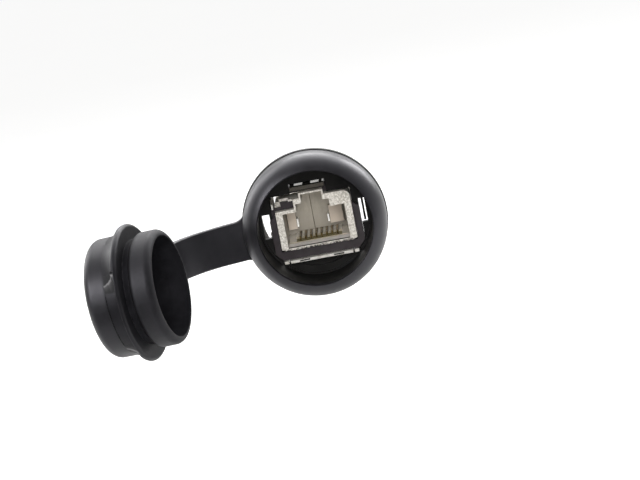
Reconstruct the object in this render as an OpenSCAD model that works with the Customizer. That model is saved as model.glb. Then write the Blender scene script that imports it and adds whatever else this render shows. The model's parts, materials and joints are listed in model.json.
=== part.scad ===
// Panel connector for a shielded eight-way modular plug, with a soft sealing cap on a strap.
// The connector's axis runs along Y: the front looks towards -Y and the keyway is up.
// The origin is the centre of the panel hole, on the panel's front face. Sizes are in millimetres.

/* [Panel mounting] */
// Height of the plain land above the thread, where it fills the panel hole
land_step = 0.25; // [0.2:0.05:0.35]
// Length of the plain land behind the panel's front face
land_l = 2.3; // [1.5:0.1:3]
// Wall of the barrel from its bore to its thread
barrel_wall = 0.6; // [0.5:0.05:0.8]
// Length of the barrel behind the panel's front face
barrel_l = 9.5; // [8:0.1:12]
// Chamfer at the barrel's rear end
barrel_chamfer = 0.3; // [0.1:0.05:0.5]
// Least gap between the barrel's bore and the pieces in it
bore_gap = 0.04; // [0.04:0.01:0.1]
// Thickness of the flat gasket
gasket_t = 1; // [0.5:0.1:2]
// Width of the gasket's ring
gasket_w = 1.55; // [1.2:0.05:1.7]
// Distance of the gasket's rim inside the flange's rim
gasket_inset = 0.35; // [0.2:0.05:0.5]
// Distance of the gasket's seat in front of the panel
seat_relief = 0.1; // [0.05:0.05:0.3]
// Wall of the ring nut
nut_wall = 1.64; // [1.4:0.02:2]
// Length of the ring nut
nut_l = 3.8; // [3:0.1:4.5]
// Gap between the plain land and the ring nut
nut_gap = 0.3; // [0.2:0.05:0.5]
// Chamfer at both ends of the ring nut
nut_chamfer = 0.4; // [0.2:0.05:0.6]
// Number of spanner slots in the ring nut
nut_slots = 8; // [4:1:12]
// Width of a spanner slot
nut_slot_w = 2; // [1.2:0.1:2.6]
// Depth of a spanner slot
nut_slot_depth = 0.75; // [0.4:0.05:0.8]
// Length of a spanner slot
nut_slot_l = 2.65; // [1.8:0.05:3]

/* [Housing] */
// Distance by which the flange stands out beyond the soft ring
flange_over = 0.2; // [0.1:0.05:0.6]
// Thickness of the flange
flange_t = 1.2; // [0.8:0.1:2]
// Step from the barrel's bore out to the collar's bore, which the cap's bead seals
seal_step = 0.3; // [0.25:0.05:0.4]
// Wall of the collar
collar_wall = 0.7; // [0.5:0.05:1]
// Length of the collar in front of the flange
collar_l = 5.9; // [5.2:0.1:6.1]
// Length of the narrow bore in front of the bulkhead
narrow_l = 0.4; // [0.2:0.1:0.8]
// Depth of the bulkhead's front behind the socket's face
bulkhead_setback = 1; // [0.8:0.1:1.4]
// Thickness of the bulkhead
bulkhead_t = 1.5; // [1:0.1:2]
// Height of the two side slots in the bulkhead
side_slot_h = 4.6; // [3:0.1:5]
// Reach of the left side slot beyond the carrier
left_slot_w = 1.45; // [1:0.05:1.6]
// Gap between the carrier and the latch finger in the right side slot
finger_gap = 0.55; // [0.4:0.05:0.7]
// Width of the latch finger in the right side slot
finger_w = 0.4; // [0.3:0.05:0.6]
// Width of the slit outside the latch finger
finger_slit = 0.25; // [0.2:0.05:0.35]
// Height of the latch finger's free end above the slot's lower end
finger_lift = 0.4; // [0.2:0.05:0.8]
// Depth of the scoop in the bulkhead's floor
scoop_depth = 0.7; // [0.3:0.1:0.9]
// Width of the scoop
scoop_w = 8.2; // [6:0.1:9]
// Wall between the scoop and the bore
scoop_wall = 1.3; // [1:0.1:1.6]

/* [Bezel ring] */
// Wall of the soft ring from its mouth to its side
ring_wall = 2.85; // [2.7:0.05:3]
// Height of the ring's straight side in front of the flange
ring_side = 3.2; // [2.8:0.1:3.6]
// Radius of the ring's domed front
ring_dome_r = 4.8; // [4.5:0.1:5.2]
// Chamfer at the ring's mouth
mouth_chamfer = 0.3; // [0.1:0.05:0.4]

/* [Strap] */
// Width of the strap
strap_w = 7.4; // [6:0.1:8]
// Thickness of the strap
strap_t = 1.45; // [1.1:0.05:1.6]
// Chamfer along the strap's edges
strap_chamfer = 0.25; // [0.1:0.05:0.4]
// Angle by which the strap leaves the ring below the horizontal
strap_turn = 4.3; // [0:0.1:8]
// Reach of the strap's root beyond the ring
root_reach = 2.45; // [2:0.05:3]
// Reach of the strap's root beyond the cap's flange
tip_reach = 1.6; // [1.4:0.05:2]
// Depth by which the strap's root is let into the cap's rim
root_sink = 0.3; // [0.2:0.05:0.5]
// Fillet above the strap at the ring
root_fillet_top = 2.4; // [1:0.1:2.4]
// Fillet below the strap at the ring, and on both sides at the cap
root_fillet = 1.4; // [0.6:0.1:1.6]
// Length over which the strap leaves its roots straight, for its bend
strap_lead = 7.2; // [6:0.1:9]

/* [Cap] */
// Distance by which the cap's head stands out beyond the bead
head_over = 0.4; // [0.2:0.05:0.7]
// Length of the head in front of the flange's sealing side
head_l = 7.2; // [6.6:0.1:8]
// Rounding of the head's outer edge
head_round = 1.6; // [0.8:0.1:2]
// Distance by which the cap's flange stands out beyond the head
brim = 1.6; // [1.4:0.05:1.9]
// Thickness of the cap's flange at its rim
cap_rim_t = 1.3; // [1:0.1:1.6]
// Length of the flare between the head and the flange
cap_flare = 2.1; // [1.6:0.1:2.4]
// Radius of the flare's hollow
flare_r = 4; // [3.2:0.1:8]
// Angle of the pry notch in the flange
notch_angle = 88; // [50:1:90]
// Angle of the notch's middle below the point opposite the strap
notch_turn = 11; // [0:1:30]
// Thickness of the lip that the pry notch leaves
notch_lip = 0.65; // [0.5:0.05:0.9]
// Distance of the pry notch from the head's side
notch_land = 0.06; // [0.04:0.01:0.2]
// Depth of the groove between flange and bead
groove_depth = 0.85; // [0.7:0.05:1]
// Gap between the sealing bead and the collar's bore, which the soft bead closes
bead_gap = 0.3; // [0.25:0.05:0.4]
// Rounding of the bead's two edges
bead_r = 1.2; // [1:0.05:1.3]
// Length of the bead's straight middle
bead_flat = 2; // [1.6:0.1:2.4]
// Distance from the flange to the middle of the bead
bead_at = 3.2; // [3.1:0.05:3.6]
// Thickness of the plug's wall at its mouth, measured from the bead
mouth_wall = 1.3; // [1.25:0.05:1.5]
// Thickness of the plug's wall, measured from the bead
plug_wall = 1.6; // [1.5:0.05:2]
// Length over which the hollow widens to the mouth
mouth_flare = 3.4; // [2.6:0.1:3.8]
// Thickness of the cap's top
cap_top_t = 2.5; // [1.8:0.1:3]

/* [Cap hinge] */
// Distance of the bending point outside the ring's side
hinge_out = 6.68; // [6.2:0.01:7.2]
// Distance of the bending point behind the ring's front edge
hinge_back = 1.016; // [0.7:0.001:1.3]
// Drop of the bending point below the axis
hinge_drop = 1.5; // [1.1:0.01:1.9]
// Outward lean of the bending line for each unit of height
hinge_lean_out = 0.076; // [0.06:0.001:0.09]
// Rearward lean of the bending line for each unit of height
hinge_lean_back = -0.004; // [-0.02:0.001:0.02]
// Angle by which the cap stands open
open_angle = 102.4; // [96:0.1:110]

/* [Coupler] */
// Depth of the socket's face behind the ring's front edge
face_recess = 9.386; // [8.8:0.001:10]
// Width of the plug opening
port_w = 11.8; // [11.7:0.05:11.9]
// Height of the plug opening
port_h = 6.6; // [6.5:0.05:6.8]
// Floor of the plug opening below the axis
port_floor = 4.6; // [4.5:0.05:4.7]
// Width of the wide step of the keyway
key_wide_w = 6.4; // [6.2:0.1:6.8]
// Height of the wide step of the keyway
key_wide_h = 1.5; // [1.3:0.05:1.6]
// Width of the narrow step of the keyway
key_narrow_w = 4; // [3.6:0.1:4.4]
// Height of the narrow step of the keyway
key_narrow_h = 1.65; // [1.3:0.05:1.8]
// Depth of the plug opening
port_depth = 12.5; // [12:0.1:13.5]
// Wall of the casting at the sides of the opening
cast_side = 1.3; // [1:0.05:1.35]
// Wall of the casting below the opening
cast_floor = 0.45; // [0.35:0.05:0.6]
// Wall of the casting above the keyway
cast_roof = 0.3; // [0.25:0.05:0.5]
// Wall of the casting beside the narrow step of the keyway
roof_side = 0.3; // [0.25:0.05:0.5]
// Wall of the casting beside the contact block
pocket_side = 0.7; // [0.5:0.05:0.9]
// Wall of the casting above the contact block
pocket_roof = 0.5; // [0.4:0.05:0.7]
// Height of the casting's shoulders above the plug opening
shoulder_h = 2.5; // [2.3:0.1:2.8]
// Rounding of the casting's upper corners
shoulder_round = 1.3; // [0.8:0.1:1.6]
// Width of the casting's cut lower corners
foot_w = 0.9; // [0.4:0.1:1.2]
// Height of the casting's cut lower corners
foot_h = 0.3; // [0.15:0.05:0.4]
// Depth of the step in the left shoulder
shoulder_step = 3; // [2:0.1:4]
// Distance of the step from the keyway
step_gap = 0.35; // [0.2:0.05:0.5]
// Height of the band that stays above the plug opening in front of the step
band_h = 0.6; // [0.4:0.05:0.8]
// Width of the post in the step
post_w = 0.8; // [0.5:0.05:0.9]
// Depth of the post's front behind the socket's face
post_depth = 0.6; // [0.4:0.1:1]
// Radius of the round pin in the step
pin_r = 0.34; // [0.25:0.01:0.4]
// Distance of the pin from the casting's side
pin_side = 0.75; // [0.6:0.05:0.9]
// Drop of the pin below the shoulder's top
pin_drop = 0.4; // [0.35:0.05:0.5]
// Radius of the round ejector mark on the right shoulder
eject_r = 0.75; // [0.5:0.05:0.8]
// Width of the groove round the ejector mark
eject_w = 0.3; // [0.2:0.05:0.4]
// Depth of that groove
eject_depth = 0.2; // [0.1:0.02:0.3]
// Distance of the ejector mark from the shoulder's top
eject_top = 0.6; // [0.4:0.05:0.7]
// Distance of the ejector mark from the casting's side
eject_side = 0.8; // [0.7:0.05:1]
// Thickness of the circuit board between the sockets
board_t = 1.6; // [1.2:0.1:2]
// Thickness of the contact block's rear wall
block_wall_t = 1.9; // [1.5:0.1:2.2]

/* [Contacts] */
// Number of contacts in a socket
contact_count = 8; // [8:1:8]
// Pitch of the contacts
contact_pitch = 1.02; // [1:0.01:1.04]
// Width of a contact wire
contact_w = 0.34; // [0.3:0.02:0.46]
// Thickness of a contact wire
contact_t = 0.3; // [0.24:0.02:0.34]
// Length of a contact in front of the comb
contact_reach = 2.6; // [2:0.1:4]
// Height of a contact's hairpin bend
hairpin_rise = 0.45; // [0.4:0.01:0.5]
// Length of the hairpin bend's nose
hairpin_nose = 0.25; // [0.2:0.01:0.3]
// Rise of a contact's free end above the comb
arm_rise = 0.4; // [0.3:0.05:0.6]
// Distance of a contact's free end from the rear of its slot
arm_gap = 0.7; // [0.4:0.05:1]
// Width of a comb slot
comb_slot_w = 0.58; // [0.5:0.02:0.64]
// Depth of the comb's front behind the socket's face
comb_depth = 7.5; // [7:0.1:8.5]
// Height of the comb above the floor
comb_h = 0.6; // [0.5:0.05:0.9]
// Width of the comb beyond its outer slots
comb_margin = 0.4; // [0.3:0.05:0.5]
// Height of the comb slots' floor above the port's floor
comb_lift = 0.25; // [0.2:0.01:0.4]
// Thickness of the plate on the port's floor
floor_plate_t = 0.2; // [0.15:0.01:0.25]
// Length of that plate in front of the contacts
floor_plate_l = 0.8; // [0.4:0.1:1.2]
// Height of the panels on the contact block
panel_h = 3.5; // [3:0.05:3.8]
// Height of the panels' lower edge above the port's floor
panel_lift = 1.45; // [1.3:0.05:1.6]
// Distance of the left panel's inner edge from the middle
left_panel_x = 4; // [3.6:0.05:4.4]
// Distance of the right panel's inner edge from the middle
right_panel_x = 2.5; // [2.2:0.05:2.8]
// Distance of the left panel from the side of the plug opening
left_panel_side = 0.15; // [0.1:0.05:0.3]
// Distance of the right panel from the side of the plug opening
right_panel_side = 0.7; // [0.5:0.05:0.8]
// Width of the slit in the wall below a panel and beside the right one
panel_slit = 0.3; // [0.2:0.01:0.35]
// Depth of that slit
panel_slit_depth = 1.4; // [1:0.1:1.5]
// Depth of the panels in front of the contact block's wall
panel_t = 1.5; // [1:0.05:1.6]
// Height of an earthing spring
spring_h = 1.5; // [1:0.1:1.7]
// Length of an earthing spring
spring_l = 2.4; // [1.8:0.1:2.6]
// Height of the earthing springs above the comb
spring_lift = 1.4; // [1.1:0.1:1.6]
// Distance of the seam in the contact block's wall from the middle
seam_out = 0.7; // [0.4:0.05:1]
// Width of that seam
seam_w = 0.14; // [0.08:0.01:0.2]
// Depth of that seam
seam_depth = 0.4; // [0.2:0.05:0.6]

/* [Carrier and clip] */
// Wall of the carrier beside the casting
carrier_side = 1.3; // [1.2:0.05:1.4]
// Height of the carrier
carrier_h = 13.2; // [13:0.1:13.3]
// Length of the carrier's body behind the bulkhead
carrier_l = 4.4; // [3:0.1:4.8]
// Chamfer of the carrier's corners
carrier_corner = 1.3; // [0.8:0.1:1.6]
// Drop of the carrier's middle below the axis
carrier_drop = 0.2; // [0:0.05:0.3]
// Set-back of the carrier's nose from the socket's face
nose_setback = 0.4; // [0.2:0.05:0.7]
// Height of the nose's sides above the axis
nose_top = 2.3; // [2:0.1:2.5]
// Cut of the nose's upper corners
nose_corner = 1.4; // [1:0.1:1.6]
// Height of the block that the carrier has in the step of the casting
step_block_h = 1.35; // [1:0.05:1.5]
// Depth of that block's front behind the socket's face
step_block_depth = 1.5; // [1.2:0.1:2]
// Width of the bridge that carries the block past the casting's side
bridge_w = 0.6; // [0.5:0.05:0.8]
// Height of that bridge above the band of the casting
bridge_h = 0.4; // [0.3:0.05:0.5]
// Thickness of the clip's sheet metal
sheet_t = 0.3; // [0.2:0.02:0.4]
// Width of the clip's lower tongue
tongue_w = 11.9; // [11:0.1:12]
// Width of the tabs beside the lower tongue
tab_w = 0.85; // [0.7:0.05:0.95]
// Slit between the lower tongue and its tabs
tab_slit = 0.3; // [0.2:0.05:0.4]
// Drop of the tabs below the lower tongue's folded edge
tab_drop = 0.05; // [0:0.01:0.1]
// Depth of the folded front edge of the lower tongue
lip_h = 0.5; // [0.4:0.05:0.5]
// Width of each hole in the folded front edge
lip_hole_w = 1.95; // [1.4:0.05:2.2]
// Distance of those holes from the middle
lip_hole_x = 3.25; // [2.8:0.05:3.6]
// Strip of metal above and below those holes
lip_rim = 0.1; // [0.08:0.01:0.14]
// Length by which those holes run back into the tongue
lip_hole_l = 1; // [0.6:0.1:1.4]
// Distance by which the lower tongue stands in front of the socket's face
tongue_front = 0.8; // [0.4:0.1:1.2]
// Width of the clip's upper tongue
upper_tongue_w = 6.5; // [5.6:0.1:7]
// Distance of the upper tongue's middle to the left of the axis
upper_tongue_out = 0.45; // [0:0.05:0.8]
// Rise of the side tongue above the casting's shoulder
side_tongue_rise = 0.75; // [0.5:0.05:0.9]
// Depth of the folded front edge of the upper tongue
bar_h = 0.7; // [0.5:0.05:0.75]
// Height of the upright lugs on the upper tongue
lug_h = 0.3; // [0.2:0.05:0.5]
// Width of the two windows between the lugs
window_w = 1.6; // [1.2:0.1:1.8]
// Distance between the middles of the two windows
window_pitch = 3.15; // [2.6:0.05:3.3]
// Reach of the clip's ear beyond its web
ear_reach = 0.9; // [0.6:0.05:1]
// Height of the ear
ear_h = 2; // [1.4:0.1:2.4]
// Drop of the ear's top below the axis
ear_drop = 2.2; // [1.8:0.1:2.6]

/* [Clearances] */
// Clearance of the ring nut on the thread
thread_fit = 0.06; // [0.03:0.01:0.08]
// Clearance between pieces that seat in each other
seat_fit = 0.1; // [0.05:0.01:0.15]
// Clearance between faces that meet
face_fit = 0.05; // [0.02:0.01:0.08]
// Gap between the ring and the plug when the cap faces it
facing_gap = 0.5; // [0.4:0.05:1]

/* [Hidden] */
$fn = 64;
cut = 1;

contact_names = [for (end = ["front", "rear"]) for (i = [1:contact_count]) str(end, "_contact_", i)];

// Housing, ring and nut: radii outwards from what the barrel holds, and places along Y
cast_x = port_w / 2 + cast_side;
carrier_w = 2 * (cast_x + carrier_side);
end_tab = [tongue_w / 2 + tab_slit, tongue_w / 2 + tab_slit + tab_w];
tongue_z = carrier_h / 2 + face_fit;
tab_bottom = carrier_drop + tongue_z + lip_h + tab_drop;
carrier_reach = norm([carrier_w / 2, carrier_h / 2 + carrier_drop - carrier_corner]);
inner_reach = max(carrier_reach, norm([end_tab[1], tab_bottom]));
bore_r = ceil(10 * (inner_reach + bore_gap)) / 10;
thread_r = bore_r + barrel_wall;
land_r = thread_r + land_step;
mouth_r = bore_r + seal_step;
collar_r = mouth_r + collar_wall;
ring_r = mouth_r + ring_wall;
flange_r = ring_r + flange_over;
flange_back = -gasket_t;
flange_front = flange_back - flange_t;
collar_front = flange_front - collar_l;
gasket_r = flange_r - gasket_inset;
gasket_seat_r = gasket_r - gasket_w - seat_fit;
nut_front = land_l + nut_gap;
nut_back = nut_front + nut_l;
nut_bore_r = thread_r + thread_fit;
nut_r = nut_bore_r + nut_wall;

// Ring: the dome is an arc that meets the straight side smoothly
ring_back = flange_front - face_fit;
dome_y = flange_front - ring_side;
dome_centre_r = ring_r - ring_dome_r;
ring_front = dome_y - sqrt(pow(ring_dome_r, 2) - pow(mouth_r - dome_centre_r, 2));

// Places along Y of the socket's face and of the bulkhead round it
face_y = ring_front + face_recess;
bulkhead_front = face_y + bulkhead_setback;
bulkhead_back = bulkhead_front + bulkhead_t;
bore_step = bulkhead_front - narrow_l;

// Cap: modelled facing the ring, then swung open about the bending line of the strap
bead_tip = bead_at + bead_flat / 2;
plug_l = bead_tip + bead_r;
cap_y = ring_front - facing_gap - plug_l;
bead_out = mouth_r - bead_gap;
head_r = bead_out + head_over;
cap_flange_r = head_r + brim;
hinge_p = [-ring_r - hinge_out, ring_front + hinge_back, -hinge_drop];
hinge_v = [-hinge_lean_out, hinge_lean_back, 1] / norm([hinge_lean_out, hinge_lean_back, 1]);

// Strap: the middle of its section at the ring and at the cap, with the directions it leaves in
strap_y = ring_back - strap_t / 2;
strap_start = turned_down([-ring_r - root_reach - face_fit, strap_y, 0]);
strap_start_dir = turned_down([-1, 0, 0]);
strap_start_wide = turned_down([0, 0, 1]);
strap_end = opened(turned_down([-cap_flange_r - tip_reach - face_fit, cap_y - strap_t / 2, 0]));
strap_end_dir = spun(turned_down([1, 0, 0]), -open_angle, hinge_v);
strap_end_wide = spun(turned_down([0, 0, 1]), -open_angle, hinge_v);
strap_steps = 20;

// Coupler: heights above the axis and depths behind the socket's face
port_top = port_h - port_floor;
key_wide_top = port_top + key_wide_h;
key_narrow_top = key_wide_top + key_narrow_h;
cast_bottom = -port_floor - cast_floor;
cast_top = key_narrow_top + cast_roof;
shoulder_top = port_top + shoulder_h;
roof_x = key_narrow_w / 2 + roof_side;
board_depth = port_depth + face_fit + block_wall_t + face_fit;
half_l = board_depth + board_t / 2;
pocket_x = cast_x - pocket_side;
pocket_top = shoulder_top - pocket_roof;
step_x = -key_wide_w / 2 - step_gap;
band_z = port_top + band_h;

// Contacts: the comb stands on a thin floor plate, and each wire runs back through the wall to the board
comb_floor = -port_floor + comb_lift;
comb_top = -port_floor + comb_h;
comb_back = port_depth - panel_t;
leg_z = comb_floor + face_fit + contact_t / 2;
hairpin_depth = comb_depth - contact_reach;
arm_end = [comb_back - arm_gap, comb_top + arm_rise];
block_x = port_w / 2 - seat_fit;
panel_z = -port_floor + panel_lift;
panels = [[-block_x + left_panel_side, -left_panel_x], [right_panel_x, block_x - right_panel_side]];

// Carrier and clip
carrier_front = bulkhead_back + seat_fit;
carrier_back = carrier_front + carrier_l;
carrier_chamfer = [carrier_corner, carrier_corner];
carrier_top = carrier_h / 2 - carrier_drop;
carrier_bottom = -carrier_h / 2 - carrier_drop;
window_x = cast_x + seat_fit;
nose_front = face_y + nose_setback;
clip_back = carrier_back + face_fit + sheet_t;
upper_z = tongue_z - carrier_drop;
lower_z = -tongue_z - carrier_drop;
side_tongue_x = cast_x + 2 * seat_fit;
side_tongue_z = [band_z + bridge_h + 2 * seat_fit, shoulder_top + side_tongue_rise];

// Turns a vector about a unit axis through the origin
function spun(p, angle, axis) =
    p * cos(angle) + cross(axis, p) * sin(angle) + axis * (axis * p) * (1 - cos(angle));

// Turns a point about the connector's axis to where the strap leaves the ring
function turned_down(p) = spun(p, -strap_turn, [0, 1, 0]);

// Moves a point of the cap from its place facing the ring to its open place
function opened(p) = hinge_p + spun(p - hinge_p, -open_angle, hinge_v);

function unit(p) = p / norm(p);

// Solid of revolution about the connector's axis, from a section drawn as radius and Y
module turned() {
    rotate([-90, 0, 0]) rotate_extrude($fn = 128) children();
}

// Straight plate between two Y places, from an outline drawn as X and Z
module plate(y0, y1) {
    translate([0, y1, 0]) rotate([90, 0, 0]) linear_extrude(y1 - y0) children();
}

// Rectangle between two corners
module span(x0, z0, x1, z1) {
    translate([x0, z0]) square([x1 - x0, z1 - z0]);
}

// Rectangle about the axis with its four corners cut off
module clipped(w, z0, z1, corner) {
    polygon([
        [-w / 2, z0 + corner[1]], [-w / 2 + corner[0], z0], [w / 2 - corner[0], z0], [w / 2, z0 + corner[1]],
        [w / 2, z1 - corner[1]], [w / 2 - corner[0], z1], [-w / 2 + corner[0], z1], [-w / 2, z1 - corner[1]]
    ]);
}

// Half of the outline by which a strap grows out of a round rim, with a fillet against the rim
module root_half(rim_r, fillet, reach) {
    centre = [-sqrt(pow(rim_r + fillet, 2) - pow(strap_w / 2 + fillet, 2)), strap_w / 2 + fillet];
    touch = centre * rim_r / (rim_r + fillet);
    inner = [-(rim_r - strap_t), 0];
    difference() {
        polygon([[centre[0], 0], centre, touch, inner]);
        translate(centre) circle(fillet);
    }
    span(-rim_r - reach, 0, -(rim_r - strap_t), strap_w / 2);
}

module strap_root(rim_r, fillet_top, fillet_bottom, reach) {
    root_half(rim_r, fillet_top, reach);
    mirror([0, 1]) root_half(rim_r, fillet_bottom, reach);
}

// Housing: flange, collar and barrel in one moulding, with a slotted bulkhead across the barrel
module housing_section() {
    difference() {
        union() {
            span(0, collar_front, collar_r, flange_back);
            span(0, flange_front, flange_r, flange_back);
            span(0, flange_back - cut, gasket_seat_r, -seat_relief);
            span(0, -cut, land_r, land_l);
            polygon([
                [0, 0], [thread_r, 0], [thread_r, barrel_l - barrel_chamfer],
                [thread_r - barrel_chamfer, barrel_l], [0, barrel_l]
            ]);
        }
        span(-cut, collar_front - cut, mouth_r, bore_step);
        span(-cut, bore_step - cut, bore_r, bulkhead_front);
        span(-cut, bulkhead_back, bore_r, barrel_l + cut);
    }
}

module nose_outline(gap) {
    c = carrier_corner;
    x = carrier_w / 2 + gap;
    bottom = carrier_bottom - gap;
    top = nose_top + gap;
    polygon([
        [-x, bottom + c], [-x + c, bottom], [x - c, bottom], [x, bottom + c],
        [x, top - nose_corner], [x - nose_corner, top], [-x + nose_corner, top], [-x, top - nose_corner]
    ]);
}

// Opening round the casting, with its shoulders and its raised roof
module cast_opening(gap) {
    span(-cast_x - gap, cast_bottom - gap, cast_x + gap, shoulder_top + gap);
    span(-roof_x - gap, 0, roof_x + gap, cast_top + gap);
}

module side_slot(reach) {
    span(carrier_w / 2 - seat_fit, -side_slot_h / 2, reach, side_slot_h / 2);
}

module bulkhead_openings() {
    slot_gap = 2 * seat_fit;
    finger_x = carrier_w / 2 + finger_gap;
    slot_bottom = -side_slot_h / 2;
    lug_top = upper_z + sheet_t + lug_h + slot_gap;
    nose_outline(seat_fit);
    cast_opening(slot_gap);
    span(-side_tongue_x - sheet_t - slot_gap, 0, 0, side_tongue_z[1] + slot_gap);
    span(-end_tab[1] - slot_gap, -tab_bottom - slot_gap, end_tab[1] + slot_gap, 0);
    translate([-upper_tongue_out, 0])
        span(-upper_tongue_w / 2 - slot_gap, 0, upper_tongue_w / 2 + slot_gap, lug_top);
    mirror([1, 0]) side_slot(carrier_w / 2 + left_slot_w);
    difference() {
        side_slot(finger_x + finger_w + finger_slit);
        span(finger_x, slot_bottom + finger_lift, finger_x + finger_w, side_slot_h / 2 + cut);
    }
}

module housing() {
    scoop_r = bore_r - scoop_wall;
    color("#1b1b1d") difference() {
        turned() housing_section();
        plate(bulkhead_front - cut, bulkhead_back + cut) bulkhead_openings();
        plate(bulkhead_front - cut, bulkhead_front + scoop_depth) intersection() {
            circle(scoop_r);
            span(-scoop_w / 2, -scoop_r, scoop_w / 2, lower_z);
        }
    }
}

// Bezel ring: a soft dome with a lip over the front of the collar, and the root of the strap
module bezel_ring() {
    color("#2c2c2f") {
        turned() difference() {
            union() {
                span(mouth_r, dome_y, ring_r, ring_back);
                intersection() {
                    translate([dome_centre_r, dome_y]) circle(ring_dome_r, $fn = 128);
                    span(mouth_r, dome_y - ring_dome_r, ring_r, dome_y);
                }
            }
            span(mouth_r - cut, collar_front - face_fit, collar_r + face_fit, ring_back + cut);
            polygon([
                [mouth_r - cut, ring_front - cut], [mouth_r + cut + mouth_chamfer, ring_front - cut],
                [mouth_r, ring_front + mouth_chamfer], [mouth_r - cut, ring_front + mouth_chamfer]
            ]);
        }
        rotate([0, -strap_turn, 0]) plate(ring_back - strap_t, ring_back)
            strap_root(ring_r, root_fillet_top, root_fillet, root_reach);
    }
}

module panel_gasket() {
    color("#101010") turned() span(gasket_r - gasket_w, flange_back, gasket_r, 0);
}

// Ring nut: round, chamfered at both ends, with spanner slots open to the rear
module ring_nut() {
    color("#232325") difference() {
        turned() polygon([
            [nut_bore_r, nut_front], [nut_r - nut_chamfer, nut_front], [nut_r, nut_front + nut_chamfer],
            [nut_r, nut_back - nut_chamfer], [nut_r - nut_chamfer, nut_back], [nut_bore_r, nut_back]
        ]);
        for (i = [0:nut_slots - 1])
            rotate([0, i * 360 / nut_slots, 0])
                translate([nut_r - nut_slot_depth, nut_back - nut_slot_l, -nut_slot_w / 2])
                    cube([nut_r, nut_l, nut_slot_w]);
    }
}

// Strap: a ribbon along a smooth curve from the ring to the open cap, turning its width as it goes
function strap_point(t) =
    let (
        a = strap_start,
        b = strap_start + strap_lead * strap_start_dir,
        c = strap_end - strap_lead * strap_end_dir,
        d = strap_end
    )
    a * pow(1 - t, 3) + 3 * b * t * pow(1 - t, 2) + 3 * c * t * t * (1 - t) + d * pow(t, 3);

function strap_dir(t, dt = 0.01) =
    t == 0 ? strap_start_dir : t == 1 ? strap_end_dir : unit(strap_point(t + dt) - strap_point(t - dt));

function strap_wide(t) =
    let (w = (1 - t) * strap_start_wide + t * strap_end_wide, d = strap_dir(t))
    unit(w - d * (w * d));

function strap_ring(t) =
    let (
        p = strap_point(t),
        w = strap_wide(t),
        n = cross(strap_dir(t), w),
        x = strap_w / 2,
        y = strap_t / 2,
        e = strap_chamfer,
        corners = [
            [x, -y + e], [x, y - e], [x - e, y], [-x + e, y],
            [-x, y - e], [-x, -y + e], [-x + e, -y], [x - e, -y]
        ]
    )
    [for (k = corners) p + k[0] * w + k[1] * n];

module cap_strap() {
    sides = 8;
    points = [for (i = [0:strap_steps]) each strap_ring(i / strap_steps)];
    walls = [
        for (i = [0:strap_steps - 1]) for (k = [0:sides - 1])
            let (a = i * sides + k, b = i * sides + (k + 1) % sides)
            each [[a, b, b + sides], [a, b + sides, a + sides]]
    ];
    first = [for (k = [sides - 1:-1:0]) k];
    last = [for (k = [0:sides - 1]) strap_steps * sides + k];
    color("#2c2c2f") polyhedron(points, concat(walls, [first, last]));
}

// Cap: head, flange, groove, bead and hollow plug as one section, with the flange's sealing side at Y 0
module cap_section() {
    rim_r = cap_rim_t / 2;
    hole_r = bead_out - plug_wall;
    lip_r = bead_out - mouth_wall;
    flare_w = brim - rim_r;
    flare_chord = norm([flare_w, cap_flare]);
    flare_out = sqrt(pow(flare_r, 2) - pow(flare_chord / 2, 2)) / flare_chord;
    flare_at = [
        head_r + flare_w / 2 + flare_out * cap_flare,
        -cap_rim_t - cap_flare / 2 - flare_out * flare_w
    ];
    difference() {
        union() {
            span(0, -head_l, head_r - head_round, 0);
            span(0, -head_l + head_round, head_r, 0);
            translate([head_r - head_round, -head_l + head_round]) circle(head_round);
            span(0, -cap_rim_t, cap_flange_r - rim_r, 0);
            translate([cap_flange_r - rim_r, -rim_r]) circle(rim_r);
            difference() {
                span(head_r - cut, -cap_rim_t - cap_flare, cap_flange_r - rim_r, -rim_r);
                translate(flare_at) circle(flare_r);
            }
            span(0, -cut, bead_out - groove_depth, bead_at);
            for (y = [bead_at - bead_flat / 2, bead_tip]) translate([bead_out - bead_r, y]) circle(bead_r);
            span(hole_r, bead_at - bead_flat / 2, bead_out, bead_tip);
        }
        polygon([
            [-cut, cap_top_t - head_l], [hole_r, cap_top_t - head_l], [hole_r, plug_l - mouth_flare],
            [lip_r, plug_l - bead_r], [lip_r, plug_l + cut], [-cut, plug_l + cut]
        ]);
    }
}

module pry_notch() {
    rotate([-90, 0, 0]) rotate([0, 0, notch_turn - notch_angle / 2]) rotate_extrude(angle = notch_angle)
        span(head_r + notch_land, -cap_rim_t - cap_flare - cut, cap_flange_r + cut, -notch_lip);
}

module sealing_cap() {
    color("#2c2c2f")
        translate(hinge_p) rotate(-open_angle, hinge_v) translate(-hinge_p)
            translate([0, cap_y, 0]) rotate([0, -strap_turn, 0]) {
                difference() {
                    turned() cap_section();
                    pry_notch();
                }
                plate(-strap_t, 0)
                    strap_root(cap_flange_r - root_sink, root_fillet, root_fillet, tip_reach + root_sink);
            }
}

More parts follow.
